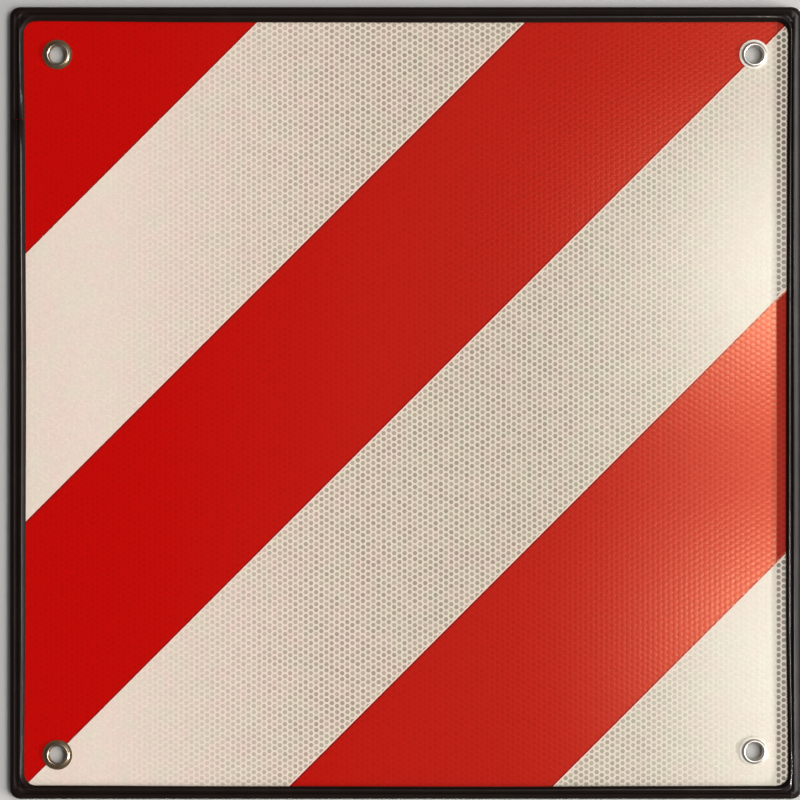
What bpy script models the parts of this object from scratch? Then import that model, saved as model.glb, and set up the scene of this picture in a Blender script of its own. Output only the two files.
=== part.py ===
"""Overhanging load sign: a square aluminium plate faced with honeycomb sheeting that carries red fields
at 45 degrees, edged with a black U-profile, with a rolled metal eyelet in each corner.

The sign lies face up. The origin is the centre of its footprint, and the back of the edging is on z = 0.
"""

import math

import bmesh
import bpy
from mathutils import Vector

# Plate
PLATE_SIDE = 0.500
PLATE_THICKNESS = 0.0012
PLATE_CORNER_RADIUS = 0.005

# Sheeting on the plate, and the red film on the sheeting
SHEETING_THICKNESS = 0.0004
FILM_THICKNESS = 0.0001
STRIPE_WIDTH = 0.120

# Gap between two pieces that lie on each other, and round a piece that passes through another
LAYER_GAP = 0.0003
HOLE_CLEARANCE = 0.0003

# Edging: a U-profile with a round back and two like lips. Insets are measured in from its outer face, and
# thicknesses from the slot's face outwards: the round back's crest, a groove, a bead and the lip's tip.
TRIM_WALL = 0.0013
TRIM_WIDTH = 0.0089
TRIM_BACK_RADIUS = 0.0030
TRIM_BACK_THICKNESS = 0.0020
TRIM_GROOVE_INSET = 0.0047
TRIM_GROOVE_THICKNESS = 0.0013
TRIM_BEAD_INSET = 0.0063
TRIM_BEAD_THICKNESS = 0.0023
TRIM_TIP_THICKNESS = 0.0006
TRIM_BEAD_CORNER_RADIUS = 0.0105
TRIM_MOUTH_CORNER_RADIUS = 0.0076
TRIM_JOINT_GAP = 0.0004
TRIM_JOINT_ABOVE_CENTRE = 0.180

# Eyelets: bore, sheet metal, the brim's flat rim and the dome between rim and bore
EYELET_BORE_DIAMETER = 0.0108
EYELET_METAL = 0.0004
EYELET_BRIM_DIAMETER = 0.0188
EYELET_RIM_WIDTH = 0.0014
EYELET_DOME_HEIGHT = 0.0013
EYELET_EDGE_DISTANCE = 0.0287
EYELET_CURL_RADIUS = 0.00075
LOWER_LEFT_EYELET_DROP = 0.0022

# Washers behind the plate
WASHER_THICKNESS = 0.0004
WASHER_DIAMETER = 0.0188
WASHER_RIM_WIDTH = 0.0016
WASHER_DISH = 0.0002

# Fineness of the round forms
TRIM_CORNER_STEPS = 7
TRIM_RELIEF_STEPS = 5
TRIM_BACK_STEPS = 5
PLATE_CORNER_STEPS = 6
DOME_STEPS = 4
CURL_STEPS = 6
EYELET_SIDES = 32
HOLE_SIDES = 32

# Edges that bend more than this stay sharp when a piece is shaded smooth
SHARP_ANGLE = math.radians(32.0)

# Levels above the surface that the sign lies on
TRIM_SLOT_HEIGHT = PLATE_THICKNESS + SHEETING_THICKNESS + FILM_THICKNESS + 4 * LAYER_GAP
SLOT_FLOOR_Z = max(TRIM_BEAD_THICKNESS, TRIM_BACK_THICKNESS)
SLOT_MIDDLE_Z = SLOT_FLOOR_Z + TRIM_SLOT_HEIGHT / 2
PLATE_Z = SLOT_FLOOR_Z + LAYER_GAP
SHEETING_Z = PLATE_Z + PLATE_THICKNESS + LAYER_GAP
SHEETING_TOP_Z = SHEETING_Z + SHEETING_THICKNESS
FILM_Z = SHEETING_TOP_Z + LAYER_GAP
FILM_TOP_Z = FILM_Z + FILM_THICKNESS
WASHER_Z = PLATE_Z - LAYER_GAP - WASHER_THICKNESS
SIGN_HEIGHT = SLOT_FLOOR_Z * 2 + TRIM_SLOT_HEIGHT

# Radii of the round pieces that pass through the plate
BORE_RADIUS = EYELET_BORE_DIAMETER / 2
BARREL_RADIUS = BORE_RADIUS + EYELET_METAL
HOLE_RADIUS = BARREL_RADIUS + HOLE_CLEARANCE
BRIM_RADIUS = EYELET_BRIM_DIAMETER / 2

# Half the outer side of the edging, which goes round the plate's edge with a gap, and its back's rounding
TRIM_HALF = PLATE_SIDE / 2 + LAYER_GAP + TRIM_WALL
BACK_ROUNDING = min(TRIM_BACK_RADIUS, TRIM_BACK_THICKNESS + TRIM_SLOT_HEIGHT / 2)

# Unit vector square to the stripes, pointing to the top left corner of the face
ACROSS_STRIPES = Vector((-1.0, 1.0, 0.0)).normalized()


def clear_scene():
    for obj in list(bpy.data.objects):
        bpy.data.objects.remove(obj, do_unlink=True)


def principled(name, colour, roughness, metallic=0.0):
    """A Principled BSDF material. The colour is linear RGB."""
    material = bpy.data.materials.new(name)
    material.use_nodes = True
    shader = material.node_tree.nodes["Principled BSDF"]
    shader.inputs["Base Color"].default_value = (*colour, 1.0)
    shader.inputs["Roughness"].default_value = roughness
    shader.inputs["Metallic"].default_value = metallic
    material.diffuse_color = (*colour, 1.0)
    return material


def aluminium():
    return principled("mill finish aluminium", (0.62, 0.63, 0.64), 0.38, 1.0)


def white_sheeting():
    return principled("white honeycomb sheeting", (0.68, 0.60, 0.50), 0.35)


def red_film():
    return principled("transparent red film", (0.52, 0.014, 0.011), 0.30)


def black_rubber():
    return principled("black rubber profile", (0.014, 0.011, 0.010), 0.42)


def nickel_plate():
    return principled("nickel plated brass", (0.66, 0.62, 0.55), 0.24, 1.0)


def new_object(name, bm, material, parent, collection):
    """Turns a bmesh into an object under the sign's empty, with its faces pointing out."""
    bmesh.ops.recalc_face_normals(bm, faces=bm.faces)
    mesh = bpy.data.meshes.new(name)
    bm.to_mesh(mesh)
    bm.free()
    obj = bpy.data.objects.new(name, mesh)
    collection.objects.link(obj)
    obj.parent = parent
    if material:
        mesh.materials.append(material)
    return obj


def shade_round(obj):
    obj.data.shade_smooth()
    obj.data.set_sharp_from_angle(angle=SHARP_ANGLE)


def arc(centre, radius, start_degrees, end_degrees, steps):
    """Points of an arc in a section, both ends included."""
    points = []
    for step in range(steps + 1):
        angle = math.radians(start_degrees + (end_degrees - start_degrees) * step / steps)
        points.append((centre[0] + radius * math.cos(angle), centre[1] + radius * math.sin(angle)))
    return points


def smooth_run(knots, steps):
    """Points of a curve that passes each knot level, like a row of soft ridges and valleys."""
    points = [knots[0]]
    for (x0, z0), (x1, z1) in zip(knots, knots[1:]):
        for step in range(1, steps + 1):
            part = step / steps
            rise = (1 - math.cos(math.pi * part)) / 2
            points.append((x0 + (x1 - x0) * part, z0 + (z1 - z0) * rise))
    return points


def corner_arc(quarter, half, radius, steps):
    """Points of one rounded corner of a square, clockwise seen from above, from the top left corner on."""
    centre_x = (half - radius) * (-1, 1, 1, -1)[quarter]
    centre_y = (half - radius) * (1, 1, -1, -1)[quarter]
    start = 180 - 90 * quarter
    return arc((centre_x, centre_y), radius, start, start - 90, steps)


def rounded_square(half, radius, steps):
    points = []
    for quarter in range(4):
        points += corner_arc(quarter, half, radius, steps)
    return points


def plate_outline_face(bm, z):
    """One flat face with the plate's outline."""
    outline = rounded_square(PLATE_SIDE / 2, PLATE_CORNER_RADIUS, PLATE_CORNER_STEPS)
    return bm.faces.new([bm.verts.new((x, y, z)) for x, y in reversed(outline)])


def keep_side(bm, distance, upper_left):
    """Cuts the flat faces along a stripe's edge and keeps what lies on one side of it."""
    bmesh.ops.bisect_plane(
        bm,
        geom=bm.verts[:] + bm.edges[:] + bm.faces[:],
        plane_co=ACROSS_STRIPES * distance,
        plane_no=ACROSS_STRIPES,
        clear_inner=upper_left,
        clear_outer=not upper_left,
    )


def raise_slab(bm, thickness):
    """Gives flat faces a thickness, upwards."""
    raised = bmesh.ops.extrude_face_region(bm, geom=bm.faces[:])
    lifted = [item for item in raised["geom"] if isinstance(item, bmesh.types.BMVert)]
    bmesh.ops.translate(bm, verts=lifted, vec=(0.0, 0.0, thickness))


def punch_holes(obj, cutters):
    cut = obj.modifiers.new("eyelet holes", "BOOLEAN")
    cut.operation = "DIFFERENCE"
    cut.solver = "EXACT"
    cut.operand_type = "COLLECTION"
    cut.collection = cutters


def layer(name, z, thickness, material, parent, cutters, near=None, far=None):
    """A layer of the panel with the eyelet holes, between two distances across the stripes if given."""
    bm = bmesh.new()
    plate_outline_face(bm, z)
    if near is not None:
        keep_side(bm, near, upper_left=True)
    if far is not None:
        keep_side(bm, far, upper_left=False)
    raise_slab(bm, thickness)
    obj = new_object(name, bm, material, parent, bpy.context.scene.collection)
    punch_holes(obj, cutters)
    return obj


def red_bands():
    """Name, near edge and far edge of each red field. The corner field runs on to the plate's corner."""
    return [
        ("red_field_lower", -2 * STRIPE_WIDTH, -STRIPE_WIDTH),
        ("red_field_middle", 0.0, STRIPE_WIDTH),
        ("red_field_corner", 2 * STRIPE_WIDTH, None),
    ]


def eyelet_places():
    """Name and centre of each eyelet. The lower left hole was punched a little low."""
    reach = PLATE_SIDE / 2 - EYELET_EDGE_DISTANCE
    return [
        ("top_left", -reach, reach),
        ("top_right", reach, reach),
        ("bottom_left", -reach, -reach - LOWER_LEFT_EYELET_DROP),
        ("bottom_right", reach, -reach),
    ]


def eyelet_seat(x, y):
    """Height of the surface that an eyelet's brim is pressed on: the red film, or the bare sheeting."""
    across = Vector((x, y, 0.0)).dot(ACROSS_STRIPES)
    for _, near, far in red_bands():
        if across + BRIM_RADIUS > near and (far is None or across - BRIM_RADIUS < far):
            return FILM_TOP_Z
    return SHEETING_TOP_Z


def hole_cutters(parent):
    """Upright cylinders that cut the eyelet holes, in a collection of their own."""
    cutters = bpy.data.collections.new("eyelet hole cutters")
    bpy.context.scene.collection.children.link(cutters)
    for name, x, y in eyelet_places():
        bm = bmesh.new()
        bmesh.ops.create_cone(
            bm,
            cap_ends=True,
            segments=HOLE_SIDES,
            radius1=HOLE_RADIUS,
            radius2=HOLE_RADIUS,
            depth=2 * SIGN_HEIGHT,
        )
        cutter = new_object(f"hole_cutter_{name}", bm, None, parent, cutters)
        cutter.location = (x, y, SLOT_MIDDLE_Z)
        cutter.hide_render = True
        cutter.display_type = "WIRE"
    return cutters


def turned(name, section, material, parent, x, y):
    """Spins a closed section of (radius, height) points about the upright axis through x, y."""
    bm = bmesh.new()
    verts = [bm.verts.new((radius, 0.0, z)) for radius, z in section]
    edges = [bm.edges.new((a, b)) for a, b in zip(verts, verts[1:] + verts[:1])]
    bmesh.ops.spin(
        bm,
        geom=verts + edges,
        cent=(0.0, 0.0, 0.0),
        axis=(0.0, 0.0, 1.0),
        steps=EYELET_SIDES,
        angle=math.tau,
        use_merge=True,
    )
    obj = new_object(name, bm, material, parent, bpy.context.scene.collection)
    obj.location = (x, y, 0.0)
    shade_round(obj)
    return obj


def metal_strip(centre_line, thickness):
    """Closed section of sheet metal that follows a centre line, with the thickness square to it."""
    left = []
    right = []
    for index, (r, z) in enumerate(centre_line):
        before = centre_line[max(index - 1, 0)]
        after = centre_line[min(index + 1, len(centre_line) - 1)]
        along = Vector((after[0] - before[0], after[1] - before[1])).normalized()
        offset = thickness / 2
        left.append((r - along.y * offset, z + along.x * offset))
        right.append((r + along.y * offset, z - along.x * offset))
    return left + right[::-1]


def eyelet_section(seat):
    """Brim, dome, barrel and rolled curl as one strip of sheet metal, from the rim to the curl's end."""
    half_metal = EYELET_METAL / 2
    rim_z = seat + LAYER_GAP + half_metal
    crest_z = rim_z + EYELET_DOME_HEIGHT - EYELET_METAL
    barrel_r = BORE_RADIUS + half_metal
    dome_foot_r = BRIM_RADIUS - EYELET_RIM_WIDTH
    roll_radius = (dome_foot_r - barrel_r) / 2 - half_metal
    crest_r = barrel_r + roll_radius
    curl_z = WASHER_Z - WASHER_DISH - LAYER_GAP
    rise = smooth_run([(dome_foot_r, rim_z), (crest_r, crest_z)], DOME_STEPS)
    roll_in = arc((crest_r, crest_z - roll_radius), roll_radius, 90, 180, DOME_STEPS)
    curl = arc((barrel_r + EYELET_CURL_RADIUS, curl_z), EYELET_CURL_RADIUS, 180, 360, CURL_STEPS)
    return metal_strip([(BRIM_RADIUS, rim_z)] + rise + roll_in[1:] + curl, EYELET_METAL)


def washer_section():
    """A dished washer: a flat rim against the plate and a cone down to the hole."""
    outer = WASHER_DIAMETER / 2
    dish_r = outer - WASHER_RIM_WIDTH
    top = WASHER_Z + WASHER_THICKNESS
    upper = [(outer, top), (dish_r, top), (HOLE_RADIUS, top - WASHER_DISH)]
    lower = [(r, z - WASHER_THICKNESS) for r, z in reversed(upper)]
    return upper + lower


def fit_eyelets(parent):
    nickel = nickel_plate()
    for name, x, y in eyelet_places():
        turned(f"eyelet_{name}", eyelet_section(eyelet_seat(x, y)), nickel, parent, x, y)
        turned(f"eyelet_washer_{name}", washer_section(), nickel, parent, x, y)


def lip_outline():
    """One lip of the edging as (inset, height over the slot's face), from its tip to the round back."""
    knots = [
        (TRIM_WIDTH, TRIM_TIP_THICKNESS),
        (TRIM_BEAD_INSET, TRIM_BEAD_THICKNESS),
        (TRIM_GROOVE_INSET, TRIM_GROOVE_THICKNESS),
        (BACK_ROUNDING, TRIM_BACK_THICKNESS),
    ]
    back_centre = (BACK_ROUNDING, TRIM_BACK_THICKNESS - BACK_ROUNDING)
    round_back = arc(back_centre, BACK_ROUNDING, 90, 180, TRIM_BACK_STEPS)
    return [(TRIM_WIDTH, 0.0)] + smooth_run(knots, TRIM_RELIEF_STEPS) + round_back[1:]


def trim_section():
    """The closed U as (inset, z) points: slot root, front lip, outer face, back lip."""
    half_slot = TRIM_SLOT_HEIGHT / 2
    front = [(inset, SLOT_MIDDLE_Z + half_slot + height) for inset, height in lip_outline()]
    back = [(inset, SLOT_MIDDLE_Z - half_slot - height) for inset, height in reversed(lip_outline())]
    root_front = (TRIM_WALL, SLOT_MIDDLE_Z + half_slot)
    root_back = (TRIM_WALL, SLOT_MIDDLE_Z - half_slot)
    return [root_front] + front + back + [root_back]


def trim_corner_radius(inset):
    """Corner radius of the line at an inset. The lips stretch and bunch where the profile is bent."""
    root_radius = PLATE_CORNER_RADIUS + LAYER_GAP
    knots = [
        (0.0, root_radius + TRIM_WALL),
        (TRIM_WALL, root_radius),
        (TRIM_BEAD_INSET, TRIM_BEAD_CORNER_RADIUS),
        (TRIM_WIDTH, TRIM_MOUTH_CORNER_RADIUS),
    ]
    for (inset0, radius0), (inset1, radius1) in zip(knots, knots[1:]):
        if inset <= inset1:
            return radius0 + (radius1 - radius0) * (inset - inset0) / (inset1 - inset0)
    return TRIM_MOUTH_CORNER_RADIUS


def trim_line(inset, z):
    """Where one point of the section runs: from the butt joint on the left side, clockwise, back to it."""
    half = TRIM_HALF - inset
    corners = rounded_square(half, trim_corner_radius(inset), TRIM_CORNER_STEPS)
    start = (-half, TRIM_JOINT_ABOVE_CENTRE + TRIM_JOINT_GAP / 2)
    end = (-half, TRIM_JOINT_ABOVE_CENTRE - TRIM_JOINT_GAP / 2)
    return [(x, y, z) for x, y in [start] + corners + [end]]


def wrap_trim(parent):
    """The edging: every point of the section traces its line, and neighbouring lines are joined."""
    bm = bmesh.new()
    lines = [[bm.verts.new(point) for point in trim_line(inset, z)] for inset, z in trim_section()]
    for line, following in zip(lines, lines[1:] + lines[:1]):
        for step in range(len(line) - 1):
            bm.faces.new((line[step], line[step + 1], following[step + 1], following[step]))
    bm.faces.new([line[0] for line in lines])
    bm.faces.new([line[-1] for line in reversed(lines)])
    obj = new_object("edge_trim", bm, black_rubber(), parent, bpy.context.scene.collection)
    shade_round(obj)
    return obj


def build_panel(parent, cutters):
    layer("backing_plate", PLATE_Z, PLATE_THICKNESS, aluminium(), parent, cutters)
    layer("honeycomb_sheet", SHEETING_Z, SHEETING_THICKNESS, white_sheeting(), parent, cutters)
    red = red_film()
    for name, near, far in red_bands():
        layer(name, FILM_Z, FILM_THICKNESS, red, parent, cutters, near, far)


def build_sign():
    clear_scene()
    sign = bpy.data.objects.new("overhanging_load_sign", None)
    bpy.context.scene.collection.objects.link(sign)
    cutters = hole_cutters(sign)
    build_panel(sign, cutters)
    fit_eyelets(sign)
    wrap_trim(sign)


build_sign()
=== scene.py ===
import math
import random

import bmesh
import bpy
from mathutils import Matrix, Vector, noise


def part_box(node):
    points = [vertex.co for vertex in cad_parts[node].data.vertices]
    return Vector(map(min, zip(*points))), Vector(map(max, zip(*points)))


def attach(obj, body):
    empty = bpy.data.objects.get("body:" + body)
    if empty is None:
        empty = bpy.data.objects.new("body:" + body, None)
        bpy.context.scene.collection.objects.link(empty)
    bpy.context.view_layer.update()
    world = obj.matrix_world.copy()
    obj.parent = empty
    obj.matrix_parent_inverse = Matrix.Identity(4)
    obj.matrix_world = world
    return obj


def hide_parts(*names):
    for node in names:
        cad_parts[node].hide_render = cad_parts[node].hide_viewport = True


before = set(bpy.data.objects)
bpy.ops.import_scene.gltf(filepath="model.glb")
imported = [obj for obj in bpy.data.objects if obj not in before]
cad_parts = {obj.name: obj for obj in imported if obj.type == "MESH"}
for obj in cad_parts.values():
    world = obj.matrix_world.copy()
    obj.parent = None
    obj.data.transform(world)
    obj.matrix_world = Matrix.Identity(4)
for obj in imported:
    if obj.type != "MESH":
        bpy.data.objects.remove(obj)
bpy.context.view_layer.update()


# Honeycomb sheeting: white retroreflective sheet, whose clear top film is sealed to a beaded backing along a
# net of fine walls, lighter than the cells. It is rolled down on the plate as one piece, and the same net of
# cells runs on under the printed red.
CELL_SIDE = 0.0022
CELL_COLUMN = 1.5 * CELL_SIDE
CELL_ROW = math.sqrt(3) * CELL_SIDE
CELL_WALL = 0.0012
CELL_WELD = CELL_WALL / 50
CELL_RISE = 0.00002
CELL_DRIFT = 0.00022
CELL_DRIFT_SCALE = 22.0
CELL_SEED = 11
SPARE_CELLS = 2
WALL_SLOPE = 0.9999
CELL_SLOT = 0
WALL_SLOT = 1
MARGIN_SLOT = 2
SHEET_SIDE = 0.4988
SHEET_CORNER_REACH = 0.3508
SHEET_EDGE = 0.0003
# Within a cell the face turns by less than this angle, and between two cells by more, so the net stays crisp.
EDGE_ANGLE = math.radians(3)
PRINT_THICKNESS = 0.00002
FACE_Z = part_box("red_field_middle")[1].z - PRINT_THICKNESS
RIGHT = Vector((1.0, 0.0, 0.0))
UP = Vector((0.0, 1.0, 0.0))
ACROSS = Vector((-1.0, 1.0, 0.0)).normalized()
ALONG = Vector((1.0, 1.0, 0.0)).normalized()
# Where the printed edges lie across the sign, from its lower right corner to its upper left one.
PRINT_EDGES = (-0.2383, -0.1198, -0.0010, 0.1175, 0.2378)
EYELETS = ("top_left", "top_right", "bottom_left", "bottom_right")
EYELET_CUT_REACH = 0.0120
EYELET_CUT_RADIUS = 0.0070
EYELET_CUT_SIDES = 16

CLOUD_SCALE = 12.0
CLOUD_DETAIL = 3.0
GRAIN_SCALE = 900.0
GRAIN_DETAIL = 2.0
GRAIN_DEPTH = 0.00002
WHITE_CELL_DARK = (0.464, 0.385, 0.304)
# Painted light: the pale cell colour painted towards the sheet's two sides.
WHITE_CELL_PAINTED_LIGHT = (0.790, 0.670, 0.575)
WHITE_WALL = (0.790, 0.680, 0.575)
WHITE_WALL_PALE = (0.810, 0.700, 0.595)
# Painted light: the white that cells and walls are painted in the bright places.
WHITE_PAINTED_LIGHT = (0.895, 0.815, 0.690)
CELL_SHADES = (0.84, 1.14)
WALL_SHADES = (0.94, 1.06)
STREAK_SHADES = (0.93, 1.07)
STREAK_STRETCH = (1.0, 0.15, 1.0)
ROSY = (1.020, 0.975, 0.985)
GREENISH = (0.980, 1.015, 0.975)
BLOTCH_SCALE = 75.0
BLOTCH_RANGE = (0.35, 0.65)
# Painted light: the sheet is painted a little lighter on the left and a little darker on the right, with a
# slight change of tint, between the two ends of its run.
SHEET_LEFT_PAINTED_LIGHT = (1.052, 1.040, 1.065)
SHEET_RIGHT_PAINTED_SHADE = (0.952, 0.980, 0.985)
SHEET_PAINTED_LIGHT_RUN = (-0.120, 0.100)
SEAM_MARGIN = (0.970, 0.690, 0.590)
SEAM_MARGIN_DEEP = (0.940, 0.650, 0.550)
SEAM_MARGIN_WIDTH = 0.0009
SHEETING_ROUGHNESS = 0.19
SHEETING_ROUGHNESS_SWING = 0.06
WALL_ROUGHER = 0.08
SHEETING_SPECULAR = 0.20
# Painted light: from where to where, along the width, the cells are painted as pale as the walls on either
# side of the sheet, and how much of that painted light is left on the right between the painted bright
# places.
LEFT_PAINTED_LIGHT_RUN = (-0.025, -0.205)
RIGHT_PAINTED_LIGHT_RUN = (0.150, 0.235)
RIGHT_PAINTED_LIGHT_LEAST = 0.6
# Painted light: places up the sheet's right side that are painted brighter, as a painted sheen, with how
# much, and from where to where it grows along the width. Beside the edging lies a painted shadow strip, where
# the cells are painted darker and the walls a little lighter.
PAINTED_LIGHT_PLACES = ((-0.250, 0.85), (-0.185, 1.00), (-0.050, 0.55), (0.085, 0.95), (0.220, 0.15))
PAINTED_LIGHT_RUN = (0.050, 0.232)
PAINTED_LIGHT_RISE = 2.3
RAMP_MIDDLE = 0.5
# Painted shadow: the strip beside the right edging, from here outwards, where the cells and the red are
# painted darker and the walls a little lighter.
SHADOW_STRIP = 0.2355
SHADOW_STRIP_SOFT = 0.0005
CELL_SHADE_IN_SHADOW_STRIP = 0.51
WALL_LIGHT_IN_SHADOW_STRIP = 1.07


def only(obj):
    """Makes a piece the only one selected, and the one that is worked on."""
    bpy.ops.object.select_all(action="DESELECT")
    obj.select_set(True)
    bpy.context.view_layer.objects.active = obj


def edit(obj):
    """Opens a piece in edit mode, with all of it selected."""
    only(obj)
    bpy.ops.object.mode_set(mode="EDIT")
    bpy.ops.mesh.select_all(action="SELECT")


def end_edit():
    """Goes back to object mode."""
    bpy.ops.object.mode_set(mode="OBJECT")


def apply_modifiers(obj):
    """Turns what a piece's modifiers make into its mesh."""
    only(obj)
    for modifier in list(obj.modifiers):
        bpy.ops.object.modifier_apply(modifier=modifier.name)


def settle(obj):
    """Puts a piece's object at the origin, with its place in its mesh."""
    only(obj)
    bpy.ops.object.transform_apply(location=True, rotation=True, scale=True)


def shade(obj, angle):
    """Shades a piece smooth, apart from the edges that turn by more than an angle."""
    only(obj)
    bpy.ops.object.shade_smooth_by_angle(angle=angle)


def middle(node):
    """The middle of a CAD node's box."""
    low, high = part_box(node)
    return (low + high) / 2


def honeycomb():
    """The net of cells over the whole face: one cell, its neighbour, then columns and rows of the pair."""
    bpy.ops.object.select_all(action="DESELECT")
    corner = -SHEET_SIDE / 2 - CELL_SIDE
    bpy.ops.mesh.primitive_circle_add(
        vertices=6,
        radius=CELL_SIDE,
        fill_type="NGON",
        location=(corner, corner, FACE_Z - CELL_RISE),
        rotation=(0.0, 0.0, math.radians(90)),
    )
    cells = bpy.context.object
    cells.name = "honeycomb_net"
    settle(cells)
    edit(cells)
    bpy.ops.mesh.inset(thickness=CELL_WALL / 2, depth=CELL_RISE)
    bpy.ops.mesh.select_all(action="SELECT")
    bpy.ops.mesh.duplicate_move(TRANSFORM_OT_translate={"value": (CELL_COLUMN, CELL_ROW / 2, 0.0)})
    end_edit()
    columns = math.ceil(SHEET_SIDE / (2 * CELL_COLUMN)) + SPARE_CELLS
    rows = math.ceil(SHEET_SIDE / CELL_ROW) + SPARE_CELLS
    for step, count in (((2 * CELL_COLUMN, 0.0, 0.0), columns), ((0.0, CELL_ROW, 0.0), rows)):
        repeat = cells.modifiers.new("repeat", "ARRAY")
        repeat.use_relative_offset = False
        repeat.use_constant_offset = True
        repeat.constant_offset_displace = step
        repeat.count = count
        repeat.use_merge_vertices = True
        repeat.merge_threshold = CELL_WELD
    apply_modifiers(cells)
    edit(cells)
    bpy.ops.mesh.remove_doubles(threshold=CELL_WELD)
    end_edit()
    return cells


def tone_cells(cells):
    """Marks cells and walls, gives each face a shade of its own, and lets the rows drift a little."""
    chance = random.Random(CELL_SEED)
    noise.seed_set(CELL_SEED)
    shades = cells.data.attributes.new("cell_shade", "FLOAT", "FACE")
    for face in cells.data.polygons:
        face.material_index = WALL_SLOT if abs(face.normal.z) < WALL_SLOPE else CELL_SLOT
        shades.data[face.index].value = chance.random()
    for vertex in cells.data.vertices:
        drift = noise.noise_vector(vertex.co * CELL_DRIFT_SCALE) * CELL_DRIFT
        vertex.co.x += drift.x
        vertex.co.y += drift.y


def cut_flat(obj, distance, direction, keep_beyond):
    """Cuts a sheet along a line, and keeps what lies beyond it or before it."""
    edit(obj)
    bpy.ops.mesh.bisect(
        plane_co=direction * distance,
        plane_no=direction,
        clear_inner=keep_beyond,
        clear_outer=not keep_beyond,
    )
    end_edit()


def select_near(obj, centre, reach):
    """In edit mode, selects the faces that lie nearer than reach to an upright axis."""
    mesh = bmesh.from_edit_mesh(obj.data)
    for face in mesh.faces:
        place = face.calc_center_median()
        face.select_set(not face.hide and math.hypot(place.x - centre.x, place.y - centre.y) < reach)
    bmesh.update_edit_mesh(obj.data)


def punch_round(obj, centre):
    """Punches one eyelet hole: flat cuts round a circle, and what they enclose is dropped."""
    edit(obj)
    bpy.ops.mesh.select_mode(type="FACE")
    select_near(obj, centre, EYELET_CUT_REACH)
    bpy.ops.mesh.hide(unselected=True)
    for side in range(EYELET_CUT_SIDES):
        angle = math.tau * side / EYELET_CUT_SIDES
        out = Vector((math.cos(angle), math.sin(angle), 0.0))
        bpy.ops.mesh.select_all(action="SELECT")
        bpy.ops.mesh.bisect(plane_co=centre + out * EYELET_CUT_RADIUS, plane_no=out)
    select_near(obj, centre, EYELET_CUT_RADIUS)
    bpy.ops.mesh.delete(type="FACE")
    bpy.ops.mesh.reveal(select=False)
    end_edit()


def turn_edge_down(obj):
    """Gives a sheet its thickness along every cut edge."""
    edit(obj)
    bpy.ops.mesh.select_mode(type="EDGE")
    bpy.ops.mesh.select_all(action="DESELECT")
    bpy.ops.mesh.select_non_manifold(
        extend=False,
        use_wire=False,
        use_boundary=True,
        use_multi_face=False,
        use_non_contiguous=False,
        use_verts=False,
    )
    bpy.ops.mesh.extrude_edges_move(TRANSFORM_OT_translate={"value": (0.0, 0.0, -SHEET_EDGE)})
    end_edit()


def trimmed_net():
    """The cells cut to the sheet's outline, with the four eyelet holes."""
    net = honeycomb()
    for direction, reach in (
        (RIGHT, SHEET_SIDE / 2),
        (UP, SHEET_SIDE / 2),
        (ACROSS, SHEET_CORNER_REACH),
        (ALONG, SHEET_CORNER_REACH),
    ):
        cut_flat(net, -reach, direction, keep_beyond=True)
        cut_flat(net, reach, direction, keep_beyond=False)
    for eyelet in EYELETS:
        punch_round(net, middle(f"eyelet_{eyelet}"))
    return net


def mark_margin(band, edge, inwards):
    """Cuts a narrow margin along one edge of a band, and gives it the band's third material."""
    edit(band)
    bpy.ops.mesh.bisect(plane_co=ACROSS * (edge + inwards), plane_no=ACROSS)
    end_edit()
    for face in band.data.polygons:
        if abs(face.center.dot(ACROSS) - edge) < abs(inwards):
            face.material_index = MARGIN_SLOT


def band_of(net, name, near, far, margin):
    """A copy of the net between two distances across the stripes, with a margin along each cut."""
    only(net)
    bpy.ops.object.duplicate()
    band = bpy.context.object
    band.name = name
    if near is not None:
        cut_flat(band, near, ACROSS, keep_beyond=True)
        mark_margin(band, near, margin)
    if far is not None:
        cut_flat(band, far, ACROSS, keep_beyond=False)
        mark_margin(band, far, -margin)
    return band


def new_group(name, inputs, outputs):
    """An empty node group: each input is given as its name, kind and first value, each output as its name."""
    group = bpy.data.node_groups.new(name, "ShaderNodeTree")
    for label, kind, value in inputs:
        group.interface.new_socket(label, in_out="INPUT", socket_type=kind).default_value = value
    for label in outputs:
        group.interface.new_socket(label, in_out="OUTPUT", socket_type="NodeSocketFloat")
    return group, group.nodes.new("NodeGroupInput"), group.nodes.new("NodeGroupOutput")


def maths(nodes, links, operation, first, second, clamp=False):
    """A Math node. Each of the two values is a number or a socket."""
    node = nodes.new("ShaderNodeMath")
    node.operation = operation
    node.use_clamp = clamp
    for socket, value in zip(node.inputs, (first, second)):
        if isinstance(value, (int, float)):
            socket.default_value = value
        else:
            links.new(value, socket)
    return node.outputs[0]


def spread(nodes, links, value, start=0.0, end=1.0, low=0.0, high=1.0, soft=False):
    """Runs from low to high as a value goes from start to end, evenly or softly, and stays within the two."""
    node = nodes.new("ShaderNodeMapRange")
    if soft:
        node.interpolation_type = "SMOOTHSTEP"
    for label, number in (("From Min", start), ("From Max", end), ("To Min", low), ("To Max", high)):
        node.inputs[label].default_value = number
    links.new(value, node.inputs["Value"])
    return node.outputs[0]


def blend_colours(nodes, links, mode, amount, first, second):
    """A colour Mix node. The amount and each colour is a value or a socket."""
    node = nodes.new("ShaderNodeMix")
    node.data_type = "RGBA"
    node.blend_type = mode
    for socket, value in zip((node.inputs[0], node.inputs[6], node.inputs[7]), (amount, first, second)):
        if isinstance(value, bpy.types.NodeSocket):
            links.new(value, socket)
        elif isinstance(value, (int, float)):
            socket.default_value = value
        else:
            socket.default_value = (*value, 1.0)
    return node.outputs[2]


def shaded(nodes, links, colour, amount):
    """A colour times a number."""
    grey = nodes.new("ShaderNodeCombineColor")
    for socket in grey.inputs:
        links.new(amount, socket)
    return blend_colours(nodes, links, "MULTIPLY", 1.0, colour, grey.outputs[0])


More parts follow.
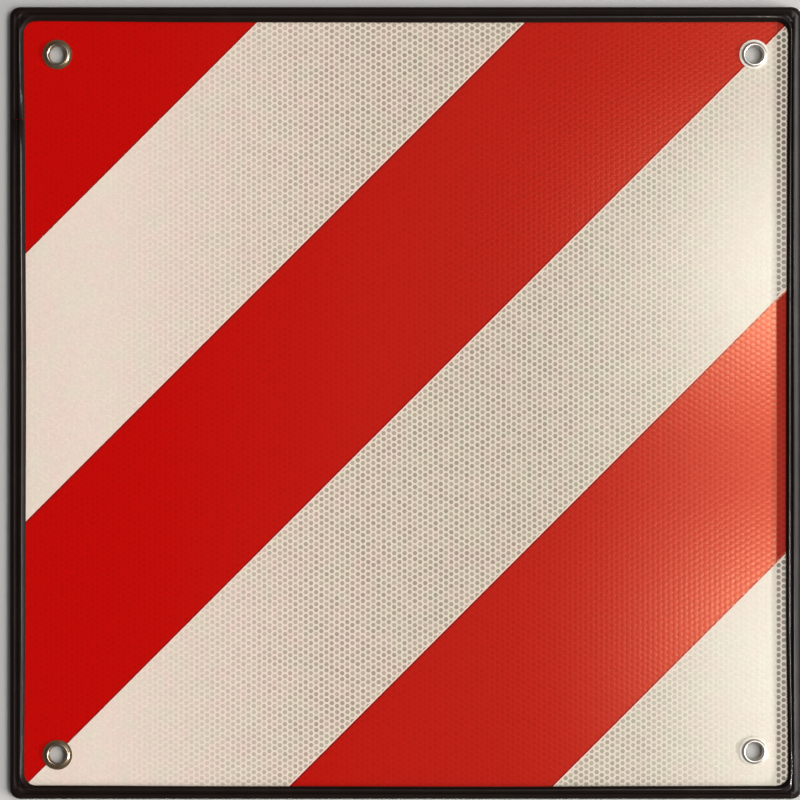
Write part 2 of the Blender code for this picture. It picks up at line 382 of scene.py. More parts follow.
def object_place(nodes, links):
    """A point's place on the sign, as X, Y and Z."""
    parts = nodes.new("ShaderNodeSeparateXYZ")
    links.new(nodes.new("ShaderNodeTexCoord").outputs["Object"], parts.inputs[0])
    return parts.outputs


def run_across(nodes, links, run):
    """A mask that grows softly from 0 to 1 between two places along the sign's width."""
    start, end = run
    return spread(nodes, links, object_place(nodes, links)["X"], start, end, soft=True)


def attribute(nodes, name):
    """What a piece's mesh notes under a name."""
    node = nodes.new("ShaderNodeAttribute")
    node.attribute_name = name
    return node.outputs["Fac"]


def unevenness_group():
    """Soft clouds and fine grain, for a surface that is never quite even: a mask of each."""
    group, given, result = new_group(
        "unevenness",
        [
            ("Cloud Scale", "NodeSocketFloat", CLOUD_SCALE),
            ("Grain Scale", "NodeSocketFloat", GRAIN_SCALE),
            ("Stretch", "NodeSocketVector", (1.0, 1.0, 1.0)),
        ],
        ["Cloud", "Grain"],
    )
    nodes, links = group.nodes, group.links
    mapping = nodes.new("ShaderNodeMapping")
    links.new(nodes.new("ShaderNodeTexCoord").outputs["Object"], mapping.inputs["Vector"])
    links.new(given.outputs["Stretch"], mapping.inputs["Scale"])
    for layer, detail in (("Cloud", CLOUD_DETAIL), ("Grain", GRAIN_DETAIL)):
        texture = nodes.new("ShaderNodeTexNoise")
        texture.inputs["Detail"].default_value = detail
        links.new(mapping.outputs[0], texture.inputs["Vector"])
        links.new(given.outputs[f"{layer} Scale"], texture.inputs["Scale"])
        links.new(texture.outputs["Fac"], result.inputs[layer])
    return group


UNEVENNESS = unevenness_group()


def new_material(name, roughness, metallic=0.0):
    """A material with its Principled shader, and an unevenness group beside it."""
    material = bpy.data.materials.new(name)
    material.use_nodes = True
    nodes, links = material.node_tree.nodes, material.node_tree.links
    shader = nodes["Principled BSDF"]
    shader.inputs["Roughness"].default_value = roughness
    shader.inputs["Metallic"].default_value = metallic
    uneven = nodes.new("ShaderNodeGroup")
    uneven.node_tree = UNEVENNESS
    return material, nodes, links, shader, uneven


def add_grain(nodes, links, shader, uneven, depth=GRAIN_DEPTH):
    """Lets the fine grain stand a little out of the surface."""
    bump = nodes.new("ShaderNodeBump")
    bump.inputs["Strength"].default_value = 1.0
    bump.inputs["Distance"].default_value = depth
    links.new(uneven.outputs["Grain"], bump.inputs["Height"])
    links.new(bump.outputs["Normal"], shader.inputs["Normal"])


def vary_roughness(nodes, links, shader, mask, low, high):
    """Lets a mask move the shader's roughness between low and high."""
    links.new(spread(nodes, links, mask, low=low, high=high), shader.inputs["Roughness"])


def painted_light_group():
    """Two masks: where painted light brightens the sheet, and the open face, which is all but the painted
    shadow strip by the edging.

    The first grows towards the right side and swells twice along it."""
    group, _, result = new_group("painted_light_places", [], ["Mask", "Open"])
    nodes, links = group.nodes, group.links
    place = object_place(nodes, links)
    swell = nodes.new("ShaderNodeValToRGB")
    swell.color_ramp.interpolation = "EASE"
    while len(swell.color_ramp.elements) < len(PAINTED_LIGHT_PLACES):
        swell.color_ramp.elements.new(1.0)
    for element, (height, amount) in zip(swell.color_ramp.elements, PAINTED_LIGHT_PLACES):
        element.position = height + RAMP_MIDDLE
        element.color = (amount, amount, amount, 1.0)
    links.new(maths(nodes, links, "ADD", place["Y"], RAMP_MIDDLE), swell.inputs[0])
    start, end = PAINTED_LIGHT_RUN
    risen = maths(nodes, links, "POWER", spread(nodes, links, place["X"], start, end), PAINTED_LIGHT_RISE)
    # The open face: 1 outside the painted shadow strip by the edging, 0 in it.
    start, end = SHADOW_STRIP + SHADOW_STRIP_SOFT, SHADOW_STRIP - SHADOW_STRIP_SOFT
    outside_shadow_strip = spread(nodes, links, place["X"], start, end)
    swelled = maths(nodes, links, "MULTIPLY", risen, swell.outputs[0])
    links.new(maths(nodes, links, "MULTIPLY", swelled, outside_shadow_strip), result.inputs["Mask"])
    links.new(outside_shadow_strip, result.inputs["Open"])
    return group


PAINTED_LIGHT = painted_light_group()


def painted_light_places(nodes):
    """The mask of the painted bright places, and the mask that is dark only in the painted shadow strip by
    the edging.
    """
    node = nodes.new("ShaderNodeGroup")
    node.node_tree = PAINTED_LIGHT
    return node.outputs["Mask"], node.outputs["Open"]


def cell_shade(nodes, links, shades):
    """The shade that each face of the net has of its own, from the first to the second of two."""
    low, high = shades
    return spread(nodes, links, attribute(nodes, "cell_shade"), low=low, high=high)


def blotches(nodes, links):
    """Faint patches a few cells wide, a little rosier or greener than the rest, as beaded sheeting has."""
    uneven = nodes.new("ShaderNodeGroup")
    uneven.node_tree = UNEVENNESS
    uneven.inputs["Cloud Scale"].default_value = BLOTCH_SCALE
    start, end = BLOTCH_RANGE
    amount = spread(nodes, links, uneven.outputs["Cloud"], start, end)
    return blend_colours(nodes, links, "MIX", amount, ROSY, GREENISH)


def sheet_tint_and_painted_light(nodes, links, outside_shadow_strip, shadow_strip_shade):
    """Painted light across the sheet, lighter on the left and darker on the right with a slight change of
    tint, times the painted shadow strip's own shade by the edging.
    """
    across = run_across(nodes, links, SHEET_PAINTED_LIGHT_RUN)
    tint = blend_colours(nodes, links, "MIX", across, SHEET_LEFT_PAINTED_LIGHT, SHEET_RIGHT_PAINTED_SHADE)
    return shaded(nodes, links, tint, spread(nodes, links, outside_shadow_strip, low=shadow_strip_shade))


def white_cells():
    """The cells: beads behind clear film, greyer in the middle of the sheet, and painted paler towards its
    two sides and in the bright places, as painted light.
    """
    material, nodes, links, shader, uneven = new_material("white_cells", SHEETING_ROUGHNESS)
    painted_light_mask, outside_shadow_strip = painted_light_places(nodes)
    # Painted light: towards the left and right sides the cells are painted as pale as the walls.
    left = run_across(nodes, links, LEFT_PAINTED_LIGHT_RUN)
    right = maths(nodes, links, "MULTIPLY", run_across(nodes, links, RIGHT_PAINTED_LIGHT_RUN), outside_shadow_strip)
    right = maths(nodes, links, "MULTIPLY", right, spread(nodes, links, painted_light_mask, low=RIGHT_PAINTED_LIGHT_LEAST))
    sides = maths(nodes, links, "ADD", left, right, clamp=True)
    base = shaded(nodes, links, WHITE_CELL_DARK, cell_shade(nodes, links, CELL_SHADES))
    base = blend_colours(nodes, links, "MIX", sides, base, WHITE_CELL_PAINTED_LIGHT)
    base = blend_colours(nodes, links, "MULTIPLY", 1.0, base, blotches(nodes, links))
    uneven.inputs["Stretch"].default_value = STREAK_STRETCH
    low, high = STREAK_SHADES
    base = shaded(nodes, links, base, spread(nodes, links, uneven.outputs["Cloud"], low=low, high=high))
    # Painted light: in the painted bright places the cells turn to a painted white sheen.
    base = blend_colours(nodes, links, "MIX", painted_light_mask, base, WHITE_PAINTED_LIGHT)
    tint = sheet_tint_and_painted_light(nodes, links, outside_shadow_strip, CELL_SHADE_IN_SHADOW_STRIP)
    links.new(blend_colours(nodes, links, "MULTIPLY", 1.0, base, tint), shader.inputs["Base Color"])
    shader.inputs["Specular IOR Level"].default_value = SHEETING_SPECULAR
    low, high = SHEETING_ROUGHNESS - SHEETING_ROUGHNESS_SWING, SHEETING_ROUGHNESS + SHEETING_ROUGHNESS_SWING
    vary_roughness(nodes, links, shader, uneven.outputs["Cloud"], low, high)
    add_grain(nodes, links, shader, uneven)
    return material


def white_walls():
    """The sealed walls between the cells: dense white, a little warm, painted whiter in the bright places and
    a little lighter in the strip by the edging, as painted light.
    """
    material, nodes, links, shader, uneven = new_material("white_walls", SHEETING_ROUGHNESS + WALL_ROUGHER)
    painted_light_mask, outside_shadow_strip = painted_light_places(nodes)
    base = blend_colours(nodes, links, "MIX", uneven.outputs["Cloud"], WHITE_WALL, WHITE_WALL_PALE)
    # Painted light: the walls turn whiter in the painted bright places.
    base = blend_colours(nodes, links, "MIX", painted_light_mask, base, WHITE_PAINTED_LIGHT)
    base = blend_colours(nodes, links, "MULTIPLY", 1.0, base, blotches(nodes, links))
    tint = sheet_tint_and_painted_light(nodes, links, outside_shadow_strip, WALL_LIGHT_IN_SHADOW_STRIP)
    base = blend_colours(nodes, links, "MULTIPLY", 1.0, base, tint)
    links.new(shaded(nodes, links, base, cell_shade(nodes, links, WALL_SHADES)), shader.inputs["Base Color"])
    shader.inputs["Specular IOR Level"].default_value = SHEETING_SPECULAR
    add_grain(nodes, links, shader, uneven)
    return material


def seam_margin():
    """The bare white hairline beside the ink, where light leaks out of the cut row of cells."""
    material, nodes, links, shader, uneven = new_material("white_seam", SHEETING_ROUGHNESS)
    tint = blend_colours(nodes, links, "MIX", uneven.outputs["Cloud"], SEAM_MARGIN, SEAM_MARGIN_DEEP)
    links.new(tint, shader.inputs["Base Color"])
    shader.inputs["Specular IOR Level"].default_value = SHEETING_SPECULAR
    return material


cells = trimmed_net()
for material in (white_cells(), white_walls(), seam_margin()):
    cells.data.materials.append(material)
tone_cells(cells)
white_bands = [
    band_of(cells, "honeycomb_sheeting", PRINT_EDGES[3], PRINT_EDGES[4], SEAM_MARGIN_WIDTH),
    band_of(cells, "white_middle", PRINT_EDGES[1], PRINT_EDGES[2], SEAM_MARGIN_WIDTH),
    band_of(cells, "white_corner", None, PRINT_EDGES[0], SEAM_MARGIN_WIDTH),
]
bpy.ops.object.select_all(action="DESELECT")
for band in white_bands:
    band.select_set(True)
sheeting = white_bands[0]
bpy.context.view_layer.objects.active = sheeting
bpy.ops.object.join()
turn_edge_down(sheeting)
shade(sheeting, EDGE_ANGLE)
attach(sheeting, "root")
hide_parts("honeycomb_sheet")


# Red fields: transparent red ink, screen printed on the sheeting in three fields at 45 degrees. The net of
# cells is only just seen through it, and it dries a little thicker and darker along its edges.
# Painted light: the red is painted deep on the left and turns a little darker and more orange towards the
# middle and right, a painted veil of reflected light.
RED_DEEP = (0.562, 0.001, 0.001)
RED_PAINTED_VEIL = (0.502, 0.011, 0.006)
RED_PAINTED_VEIL_RUN = (-0.200, 0.050)
# Painted light: the pale orange red painted in the bright places.
RED_PAINTED_LIGHT = (0.850, 0.105, 0.055)
RED_EDGE = (0.200, 0.003, 0.007)
RED_EDGE_WARM = (0.250, 0.005, 0.009)
# Painted light: the ink edge's colour in the bright places.
RED_EDGE_PAINTED_LIGHT = (0.420, 0.045, 0.028)
RED_EDGE_WIDTH = 0.0009
RED_CELL_SHADES = (0.93, 1.00)
RED_WALL_SHADES = (1.00, 1.05)
# Painted shadow in the strip by the edging: how much darker the red is painted over cells and over walls.
RED_CELL_SHADE_IN_SHADOW_STRIP = 0.70
RED_WALL_SHADE_IN_SHADOW_STRIP = 0.90
RED_ROUGHNESS = 0.17
RED_WALL_ROUGHER = 0.03
RED_ROUGHNESS_IN_STRIP = 0.75
RED_SPECULAR = 0.50
RED_GLOSS_TINT = (1.0, 0.78, 0.50)
RED_FIELDS = (
    ("red_field_corner", PRINT_EDGES[4], None),
    ("red_field_middle", PRINT_EDGES[2], PRINT_EDGES[3]),
    ("red_field_lower", PRINT_EDGES[0], PRINT_EDGES[1]),
)


def red_ink(name, shades, shadow_strip_shade, roughness):
    """Red ink over cells or over walls: the two differ only a little in shade and gloss. Both carry painted
    light: a painted veil across the sheet, the painted bright places, and painted shade in the strip by the
    edging.
    """
    material, nodes, links, shader, uneven = new_material(name, roughness)
    painted_light_mask, outside_shadow_strip = painted_light_places(nodes)
    # Painted veil: the red shifts from deep to orange along the width.
    painted_veil = run_across(nodes, links, RED_PAINTED_VEIL_RUN)
    base = blend_colours(nodes, links, "MIX", painted_veil, RED_DEEP, RED_PAINTED_VEIL)
    # Painted light: the red turns paler and more orange in the painted bright places.
    base = blend_colours(nodes, links, "MIX", painted_light_mask, base, RED_PAINTED_LIGHT)
    # Painted shade in the strip by the edging.
    painted_strip_shade = spread(nodes, links, outside_shadow_strip, low=shadow_strip_shade)
    own = maths(nodes, links, "MULTIPLY", cell_shade(nodes, links, shades), painted_strip_shade)
    links.new(shaded(nodes, links, base, own), shader.inputs["Base Color"])
    shader.inputs["Specular IOR Level"].default_value = RED_SPECULAR
    shader.inputs["Specular Tint"].default_value = (*RED_GLOSS_TINT, 1.0)
    vary_roughness(nodes, links, shader, outside_shadow_strip, RED_ROUGHNESS_IN_STRIP, roughness)
    add_grain(nodes, links, shader, uneven)
    return material


def thick_edge():
    """The dark line where the ink stops, painted lighter in the painted bright places."""
    material, nodes, links, shader, uneven = new_material("red_ink_edge", RED_ROUGHNESS)
    tint = blend_colours(nodes, links, "MIX", uneven.outputs["Cloud"], RED_EDGE, RED_EDGE_WARM)
    tint = blend_colours(nodes, links, "MIX", painted_light_places(nodes)[0], tint, RED_EDGE_PAINTED_LIGHT)
    links.new(tint, shader.inputs["Base Color"])
    shader.inputs["Specular IOR Level"].default_value = RED_SPECULAR
    shader.inputs["Specular Tint"].default_value = (*RED_GLOSS_TINT, 1.0)
    return material


red_materials = [
    red_ink("red_ink_on_cells", RED_CELL_SHADES, RED_CELL_SHADE_IN_SHADOW_STRIP, RED_ROUGHNESS),
    red_ink("red_ink_on_walls", RED_WALL_SHADES, RED_WALL_SHADE_IN_SHADOW_STRIP, RED_ROUGHNESS + RED_WALL_ROUGHER),
    thick_edge(),
]
for node, near, far in RED_FIELDS:
    field = band_of(cells, node.replace("field", "print"), near, far, RED_EDGE_WIDTH)
    for index, material in enumerate(red_materials):
        field.data.materials[index] = material
    turn_edge_down(field)
    for vertex in field.data.vertices:
        vertex.co.z += PRINT_THICKNESS
    shade(field, EDGE_ANGLE)
    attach(field, "root")
    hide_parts(node)
bpy.data.objects.remove(cells)


# Backing plate: mill finish aluminium sheet, sheared to size and punched. Its back is bare, and shows the
# fine lines that the rolling mill leaves.
ALUMINIUM = (0.60, 0.61, 0.62)
ALUMINIUM_DULL = (0.50, 0.51, 0.52)
ALUMINIUM_ROUGHNESS = 0.35
ALUMINIUM_ROUGHNESS_SWING = 0.09
MILL_CLOUD_SCALE = 16.0
MILL_GRAIN_SCALE = 700.0
MILL_STRETCH = (0.04, 1.0, 1.0)


def mill_finish():
    """Bare aluminium, with clouds and grain drawn out into lines across the sign."""
    name = "mill_finish_aluminium"
    material, nodes, links, shader, uneven = new_material(name, ALUMINIUM_ROUGHNESS, metallic=1.0)
    uneven.inputs["Cloud Scale"].default_value = MILL_CLOUD_SCALE
    uneven.inputs["Grain Scale"].default_value = MILL_GRAIN_SCALE
    uneven.inputs["Stretch"].default_value = MILL_STRETCH
    tint = blend_colours(nodes, links, "MIX", uneven.outputs["Cloud"], ALUMINIUM_DULL, ALUMINIUM)
    links.new(tint, shader.inputs["Base Color"])
    low = ALUMINIUM_ROUGHNESS - ALUMINIUM_ROUGHNESS_SWING
    high = ALUMINIUM_ROUGHNESS + ALUMINIUM_ROUGHNESS_SWING
    vary_roughness(nodes, links, shader, uneven.outputs["Grain"], low, high)
    add_grain(nodes, links, shader, uneven)
    return material


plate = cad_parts["backing_plate"]
plate.data.materials.clear()
plate.data.materials.append(mill_finish())


# Edging: black extruded rubber profile with a bead and a groove on each lip, pushed on the plate's edge by
# hand and butted on the left. Its lips are a little wavy between the corners, and its bead and the ridge of
# its back are rubbed bright in places.
TRIM_LIP = 0.0089
TRIM_CORNER = 0.020
TRIM_SLICE = 0.020
TRIM_SLICES_EACH_WAY = 11
TRIM_WELD = 0.000002
TRIM_EDGE_ANGLE = math.radians(32)
RIDGE_INSET = 0.0027
RIDGE_HALF_WIDTH = 0.0012
GROOVE_INSET = 0.0042
GROOVE_HALF_WIDTH = 0.0007
BEAD_INSET = 0.0063
BEAD_HALF_WIDTH = 0.0006
GROOVE_DEEPER = 0.0005
LIP_UNDER_Z = 0.0052
LEVEL_SLACK = 0.00005
SIDE_SLACK = 0.0001
UNDERSIDE_CURVE = 2.5
RUBBER = (0.0095, 0.0050, 0.0038)
RUBBER_DUST = (0.018, 0.012, 0.009)
DUST_POWER = 3.0
RUBBER_CLOUD_SCALE = 60.0
RUBBER_GRAIN_SCALE = 2500.0
RUBBER_ROUGHNESS = 0.50
RUBBED_ROUGHNESS = 0.18
RUBBER_SPECULAR = 0.08
RIDGE_POLISH = 0.33
BEAD_POLISH_ELSEWHERE = 0.5
POLISH_PATCHES = (0.75, 1.25)
POLISH_ROUGHNESS = 0.20
POLISH_IOR = 2.0
# Along each side from one end to the other: place on the side, and how far the lip reaches inwards there.
LIP_LEFT = ((-0.24, 0.0004), (-0.12, 0.0012), (0.02, 0.0016), (0.14, 0.0011), (0.24, 0.0001))
LIP_RIGHT = ((-0.24, -0.0002), (-0.12, 0.0012), (0.00, 0.0010), (0.14, 0.0006), (0.24, -0.0002))
LIP_TOP = ((-0.24, 0.0002), (-0.12, 0.0010), (0.05, 0.0012), (0.14, 0.0010), (0.24, 0.0008))
LIP_BOTTOM = ((-0.24, -0.0002), (-0.10, -0.0007), (0.05, -0.0010), (0.15, -0.0006), (0.24, -0.0004))
# How far the back ridge leans inwards on each side, and how much further than the lip's tip the bead does.
LEAN_LEFT = (0.0, 0.0)
LEAN_RIGHT = (0.0025, 0.0008)
LEAN_TOP = (0.0, -0.0007)
LEAN_BOTTOM = (0.0, 0.0005)


def along_knots(knots, place):
    """A soft curve through a few (place, value) knots."""
    for (start, first), (end, last) in zip(knots, knots[1:]):
        if place <= end:
            part = min(max((place - start) / (end - start), 0.0), 1.0)
            return first + (last - first) * (1 - math.cos(math.pi * part)) / 2
    return knots[-1][1]


def sway(trim, half):
    """Moves the lips in and out and leans the profile's back, with nothing moved at the outer face."""
    for vertex in trim.data.vertices:
        x, y = vertex.co.x, vertex.co.y
        upper = vertex.co.z > LIP_UNDER_Z + LEVEL_SLACK
        for knots, (back, further), away, place, axis, sign in (
            (LIP_LEFT, LEAN_LEFT, half + x, y, 0, 1),
            (LIP_RIGHT, LEAN_RIGHT, half - x, y, 0, -1),
            (LIP_TOP, LEAN_TOP, half - y, x, 1, -1),
            (LIP_BOTTOM, LEAN_BOTTOM, half + y, x, 1, 1),
        ):
            if away >= TRIM_CORNER:
                continue
            tip = along_knots(knots, place)
            if upper:
                leaning = ((0.0, 0.0), (RIDGE_INSET, back), (GROOVE_INSET, back))
                reaching = ((BEAD_INSET, tip + further), (TRIM_LIP, tip))
                shift = along_knots(leaning + reaching, away)
            else:
                shift = tip * (min(away, TRIM_LIP) / TRIM_LIP) ** UNDERSIDE_CURVE
            vertex.co[axis] += sign * shift


def nearness(inset, place, width):
    """1 on a line that runs along the profile, and soon 0 beside it."""
    return math.exp(-(((inset - place) / width) ** 2))


def press_groove(trim, half):
    """Deepens the groove between ridge and bead, and notes on each point how polished bead and ridge are.

    The right side is rubbed most: only there is the bead polished in full, and the ridge at all."""
    for name in ("bead", "ridge"):
        trim.data.attributes.new(name, "FLOAT", "POINT")
    bead, ridge = (trim.data.attributes[name] for name in ("bead", "ridge"))
    for vertex in trim.data.vertices:
        inset = min(half - abs(vertex.co.x), half - abs(vertex.co.y))
        on_right = half - vertex.co.x <= inset + SIDE_SLACK
        bead_polish, ridge_polish = (1.0, 1.0) if on_right else (BEAD_POLISH_ELSEWHERE, 0.0)
        bead.data[vertex.index].value = nearness(inset, BEAD_INSET, BEAD_HALF_WIDTH) * bead_polish
        ridge.data[vertex.index].value = nearness(inset, RIDGE_INSET, RIDGE_HALF_WIDTH) * ridge_polish
        if vertex.co.z > LIP_UNDER_Z:
            vertex.co.z -= GROOVE_DEEPER * nearness(inset, GROOVE_INSET, GROOVE_HALF_WIDTH)


def rubber():
    """Black rubber, satin and here and there dusty, with bead and ridge rubbed to a patchy shine."""
    material, nodes, links, shader, uneven = new_material("black_rubber", RUBBER_ROUGHNESS)
    uneven.inputs["Cloud Scale"].default_value = RUBBER_CLOUD_SCALE
    uneven.inputs["Grain Scale"].default_value = RUBBER_GRAIN_SCALE
    dust = maths(nodes, links, "POWER", uneven.outputs["Cloud"], DUST_POWER)
    links.new(blend_colours(nodes, links, "MIX", dust, RUBBER, RUBBER_DUST), shader.inputs["Base Color"])
    shader.inputs["Specular IOR Level"].default_value = RUBBER_SPECULAR
    shader.inputs["Coat Roughness"].default_value = POLISH_ROUGHNESS
    shader.inputs["Coat IOR"].default_value = POLISH_IOR
    bead, ridge = attribute(nodes, "bead"), attribute(nodes, "ridge")
    low, high = POLISH_PATCHES
    patchy = spread(nodes, links, uneven.outputs["Cloud"], low=low, high=high)
    rubbed = maths(nodes, links, "MAXIMUM", bead, ridge)
    worn = maths(nodes, links, "MULTIPLY", rubbed, patchy, clamp=True)
    vary_roughness(nodes, links, shader, worn, RUBBER_ROUGHNESS, RUBBED_ROUGHNESS)
    polished = maths(nodes, links, "MAXIMUM", bead, maths(nodes, links, "MULTIPLY", ridge, RIDGE_POLISH))
    links.new(maths(nodes, links, "MULTIPLY", polished, patchy, clamp=True), shader.inputs["Coat Weight"])
    add_grain(nodes, links, shader, uneven)
    return material


only(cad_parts["edge_trim"])
bpy.ops.object.duplicate()
trim = bpy.context.object
trim.name = "edging"
edit(trim)
bpy.ops.mesh.remove_doubles(threshold=TRIM_WELD)
for direction in (RIGHT, UP):
    for cut in range(-TRIM_SLICES_EACH_WAY, TRIM_SLICES_EACH_WAY + 1):
        bpy.ops.mesh.select_all(action="SELECT")
        bpy.ops.mesh.bisect(plane_co=direction * cut * TRIM_SLICE, plane_no=direction)
end_edit()
press_groove(trim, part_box("edge_trim")[1].x)
sway(trim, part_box("edge_trim")[1].x)
trim.data.materials.clear()
trim.data.materials.append(rubber())
shade(trim, TRIM_EDGE_ANGLE)
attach(trim, "root")
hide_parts("edge_trim")


# Eyelets: two-part, of nickel plated brass. The front half has a flat brim, a rounded dome and a barrel that
# goes through the panel, and a press rolls the barrel's end over a dished washer at the back.
EYELET_SIDES = 72
EYELET_BORE = 0.0108
EYELET_METAL = 0.0004
EYELET_WELD = EYELET_METAL / 100
EYELET_EDGE_ANGLE = math.radians(40)
EYELET_RIM = 0.0014
EYELET_DOME = 0.0013
EYELET_CURL = 0.00075
DOME_STEPS = 8
CURL_STEPS = 12
CURL_END = 350
WASHER_METAL = 0.0004
WASHER_RIM = 0.0016
WASHER_DISH = 0.0002
PLATE_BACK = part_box("backing_plate")[0].z
# Painted light and shade: a paler, lit copy of the nickel for the right eyelets, and a darker, browner,
# shaded copy for the left ones.
LIT_NICKEL = (0.80, 0.76, 0.71)
LIT_NICKEL_TARNISH = (0.64, 0.58, 0.51)
SHADED_NICKEL = (0.60, 0.50, 0.38)
SHADED_NICKEL_TARNISH = (0.26, 0.16, 0.08)
NICKEL_ROUGHNESS = 0.36
SHADED_NICKEL_ROUGHNESS = 0.24
BRIGHT_SMOOTHER = 0.08
TARNISH_ROUGHER = 0.16
TARNISH_EVERYWHERE = 0.45
TARNISH_STRENGTH = 1.2
NICKEL_CLOUD_SCALE = 220.0
NICKEL_GRAIN_SCALE = 3000.0
NICKEL_GRAIN_DEPTH = 0.00001


def arc(centre, radius, start, end, steps):
    """Points of an arc in a section, in degrees, both ends included."""
    points = []
    for step in range(steps + 1):
        angle = math.radians(start + (end - start) * step / steps)
        points.append((centre[0] + radius * math.cos(angle), centre[1] + radius * math.sin(angle)))
    return points


def sheet_metal(line, thickness):
    """Closed outline of sheet metal that follows a line of (radius, height) points."""
    left, right = [], []
    for index, point in enumerate(line):
        before, after = line[max(index - 1, 0)], line[min(index + 1, len(line) - 1)]
        way = Vector((after[0] - before[0], after[1] - before[1])).normalized() * thickness / 2
        left.append((point[0] - way.y, point[1] + way.x))
        right.append((point[0] + way.y, point[1] - way.x))
    return left + right[::-1]


def turned(name, outline, centre):
    """Turns an outline: a ring of wire is drawn out from point to point until it closes on itself."""
    bpy.ops.object.select_all(action="DESELECT")
    radius, height = outline[0]
    start = (centre.x, centre.y, height)
    bpy.ops.mesh.primitive_circle_add(vertices=EYELET_SIDES, radius=radius, location=start)
    piece = bpy.context.object
    piece.name = name
    settle(piece)
    edit(piece)
    for next_radius, next_height in outline[1:] + outline[:1]:
        bpy.ops.mesh.extrude_edges_move(TRANSFORM_OT_translate={"value": (0.0, 0.0, next_height - height)})
        grow = next_radius / radius
        bpy.ops.transform.resize(value=(grow, grow, 1.0), center_override=(centre.x, centre.y, next_height))
        radius, height = next_radius, next_height
    bpy.ops.mesh.select_all(action="SELECT")
    bpy.ops.mesh.remove_doubles(threshold=EYELET_WELD)
    bpy.ops.mesh.normals_make_consistent(inside=False)
    end_edit()
    shade(piece, EYELET_EDGE_ANGLE)
    return piece


def eyelet_outline(brim_radius):
    """Rim, soft rise to the dome, roll into the barrel, and the curl at the back."""
    half = EYELET_METAL / 2
    rim_z = FACE_Z + PRINT_THICKNESS + half
    barrel_r = EYELET_BORE / 2 + half
    foot_r = brim_radius - EYELET_RIM
    roll = (foot_r - barrel_r) / 2 - half
    crest_r = barrel_r + roll
    crest_z = rim_z + EYELET_DOME - EYELET_METAL
    curl_z = PLATE_BACK - WASHER_METAL - WASHER_DISH - half
    line = [(brim_radius, rim_z)]
    for step in range(DOME_STEPS + 1):
        part = step / DOME_STEPS
        rise = (1 - math.cos(math.pi * part)) / 2
        line.append((foot_r + (crest_r - foot_r) * part, rim_z + (crest_z - rim_z) * rise))
    line += arc((crest_r, crest_z - roll), roll, 90, 180, DOME_STEPS)[1:]
    line += arc((barrel_r + EYELET_CURL, curl_z), EYELET_CURL, 180, CURL_END, CURL_STEPS)
    return sheet_metal(line, EYELET_METAL)


def washer_outline(outer):
    """A flat rim against the plate, and a shallow dish down to the barrel."""
    hole = EYELET_BORE / 2 + EYELET_METAL
    upper = [(outer, PLATE_BACK), (outer - WASHER_RIM, PLATE_BACK), (hole, PLATE_BACK - WASHER_DISH)]
    return upper + [(radius, height - WASHER_METAL) for radius, height in reversed(upper)]


def nickel(name, colour, tarnish, roughness):
    """Nickel plate over brass, with tarnish in clouds; the colour turns darker and browner towards the flat
    rim and stays palest on the dome.
    """
    material, nodes, links, shader, uneven = new_material(name, roughness, metallic=1.0)
    uneven.inputs["Cloud Scale"].default_value = NICKEL_CLOUD_SCALE
    uneven.inputs["Grain Scale"].default_value = NICKEL_GRAIN_SCALE
    height = object_place(nodes, links)["Z"]
    rim = spread(nodes, links, height, FACE_Z + EYELET_DOME, FACE_Z + EYELET_METAL)
    patches = maths(nodes, links, "ADD", rim, TARNISH_EVERYWHERE)
    patches = maths(nodes, links, "MULTIPLY", patches, uneven.outputs["Cloud"])
    patches = maths(nodes, links, "MULTIPLY", patches, TARNISH_STRENGTH, clamp=True)
    links.new(blend_colours(nodes, links, "MIX", patches, colour, tarnish), shader.inputs["Base Color"])
    vary_roughness(nodes, links, shader, patches, roughness - BRIGHT_SMOOTHER, roughness + TARNISH_ROUGHER)
    add_grain(nodes, links, shader, uneven, NICKEL_GRAIN_DEPTH)
    return material


lit_nickel = nickel("painted_light_nickel_plate", LIT_NICKEL, LIT_NICKEL_TARNISH, NICKEL_ROUGHNESS)
shaded_nickel = nickel("painted_shade_nickel_plate", SHADED_NICKEL, SHADED_NICKEL_TARNISH, SHADED_NICKEL_ROUGHNESS)
for eyelet in EYELETS:
    centre = middle(f"eyelet_{eyelet}")
    low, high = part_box(f"eyelet_{eyelet}")
    brim_radius = (high.x - low.x) / 2
    ring = turned(f"rolled_eyelet_{eyelet}", eyelet_outline(brim_radius), centre)
    washer = turned(f"dished_washer_{eyelet}", washer_outline(brim_radius), centre)
    for piece, node in ((ring, f"eyelet_{eyelet}"), (washer, f"eyelet_washer_{eyelet}")):
        # Painted light and shade: the right eyelets get the lit copy, the left ones the shaded copy.
        piece.data.materials.append(shaded_nickel if eyelet.endswith("left") else lit_nickel)
        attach(piece, "root")
        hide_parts(node)


# Floor, lights and camera: a pale studio floor, a wide lamp low and far on the right with a grid that keeps
# its light off the floor beneath it, two small panels overhead, soft light all round, and a camera straight
# above.
FLOOR_SIZE = 16.0
FLOOR_DROP = 0.0001
FLOOR = (0.62, 0.61, 0.595)
FLOOR_PALE = (0.65, 0.64, 0.62)
FLOOR_ROUGHNESS = 0.7
LAMP_PLACE = (6.30, -1.95, 1.50)
LAMP_SIZE = (3.3, 0.24)
LAMP_SPREAD = math.radians(40)
LAMP_POWER = 31.5
PANEL_SIZE = (0.12, 0.30)
PANEL_SPREAD = math.radians(180)
UPPER_PANEL_POWER = 2.9
LOWER_PANEL_POWER = 2.6
UPPER_PANEL_PLACE = (0.54, 0.17, 1.60)
LOWER_PANEL_PLACE = (0.56, -0.33, 1.60)
LAMP_COLOUR = (1.0, 0.97, 0.93)
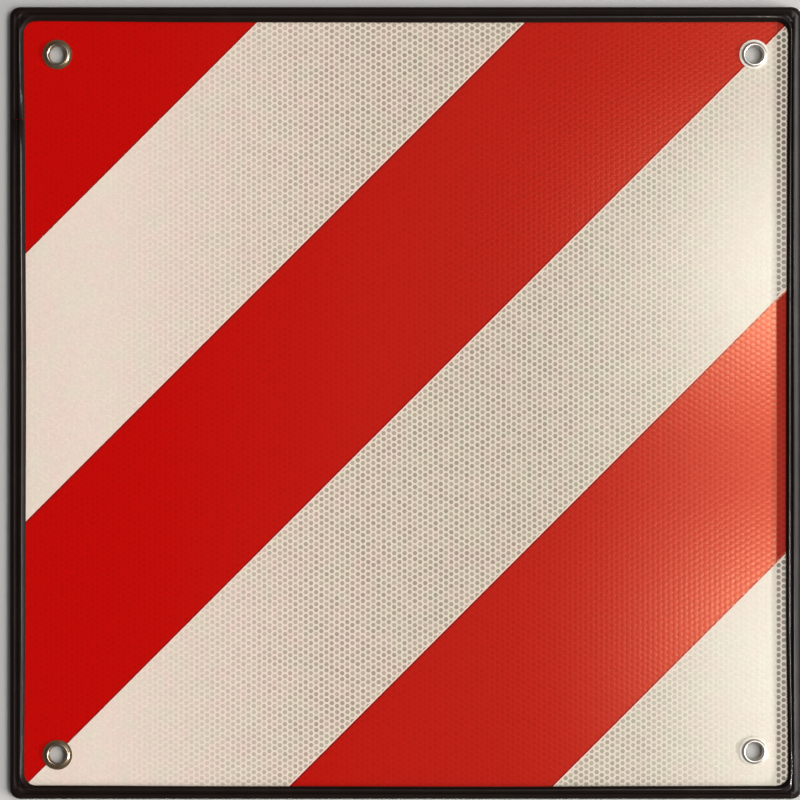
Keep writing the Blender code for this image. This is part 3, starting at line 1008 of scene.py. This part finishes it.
# The sky is brighter low down than overhead. It has a bright window high on the right: part of a ring round
# the top, weaker towards its two ends.
SKY_LOW = 0.20
SKY_HIGH = 0.07
SKY_FADE = (0.35, 0.85)
SKY_WINDOW = 5.1
SKY_WINDOW_ENDS = 0.2
SKY_RING_LOWER = (0.66, 0.74)
SKY_RING_UPPER = (0.94, 0.89)
SKY_ENDS_RUN = (0.02, 0.10)
SKY_MIDDLE_RUN = (0.25, 0.60)
CAMERA_PLACE = (-0.0037, 0.0019, 1.60)
CAMERA_LENS = 113.0

bpy.ops.mesh.primitive_plane_add(size=FLOOR_SIZE, location=(0.0, 0.0, -FLOOR_DROP))
floor = bpy.context.object
floor.name = "floor"
settle(floor)
floor_material, nodes, links, shader, uneven = new_material("studio_floor", FLOOR_ROUGHNESS)
floor_tint = blend_colours(nodes, links, "MIX", uneven.outputs["Cloud"], FLOOR, FLOOR_PALE)
links.new(floor_tint, shader.inputs["Base Color"])
floor.data.materials.append(floor_material)

for name, place, size, power, beam in (
    ("low_lamp", LAMP_PLACE, LAMP_SIZE, LAMP_POWER, LAMP_SPREAD),
    ("upper_panel", UPPER_PANEL_PLACE, PANEL_SIZE, UPPER_PANEL_POWER, PANEL_SPREAD),
    ("lower_panel", LOWER_PANEL_PLACE, PANEL_SIZE, LOWER_PANEL_POWER, PANEL_SPREAD),
):
    bpy.ops.object.light_add(type="AREA", location=place)
    lamp = bpy.context.object
    lamp.name = name
    lamp.data.shape = "RECTANGLE"
    lamp.data.size, lamp.data.size_y = size
    lamp.data.energy = power
    lamp.data.spread = beam
    lamp.data.color = LAMP_COLOUR
    lamp.rotation_euler = Vector(place).to_track_quat("Z", "Y").to_euler()
    lamp.visible_camera = False

world = bpy.context.scene.world or bpy.data.worlds.new("studio")
bpy.context.scene.world = world
world.use_nodes = True
air, paths = world.node_tree.nodes, world.node_tree.links
way = air.new("ShaderNodeSeparateXYZ")
paths.new(air.new("ShaderNodeTexCoord").outputs["Generated"], way.inputs[0])


def sky_run(towards, run, low=0.0, high=1.0):
    """A soft run from low to high, as the way towards a side of the sky goes from one value to another."""
    start, end = run
    return spread(air, paths, towards, start, end, low, high, soft=True)


up, right = way.outputs["Z"], way.outputs["X"]
ring = maths(air, paths, "MULTIPLY", sky_run(up, SKY_RING_LOWER), sky_run(up, SKY_RING_UPPER))
ends = sky_run(right, SKY_ENDS_RUN, high=SKY_WINDOW_ENDS)
window = maths(air, paths, "ADD", ends, sky_run(right, SKY_MIDDLE_RUN, high=1.0 - SKY_WINDOW_ENDS))
window = maths(air, paths, "MULTIPLY", maths(air, paths, "MULTIPLY", ring, window), SKY_WINDOW)
strength = maths(air, paths, "ADD", sky_run(up, SKY_FADE, SKY_LOW, SKY_HIGH), window)
paths.new(strength, air["Background"].inputs["Strength"])
air["Background"].inputs["Color"].default_value = (1.0, 1.0, 1.0, 1.0)

bpy.ops.object.camera_add(location=CAMERA_PLACE, rotation=(0.0, 0.0, 0.0))
camera = bpy.context.object
camera.data.lens = CAMERA_LENS
bpy.context.scene.camera = camera
bpy.context.scene.view_settings.view_transform = "Standard"
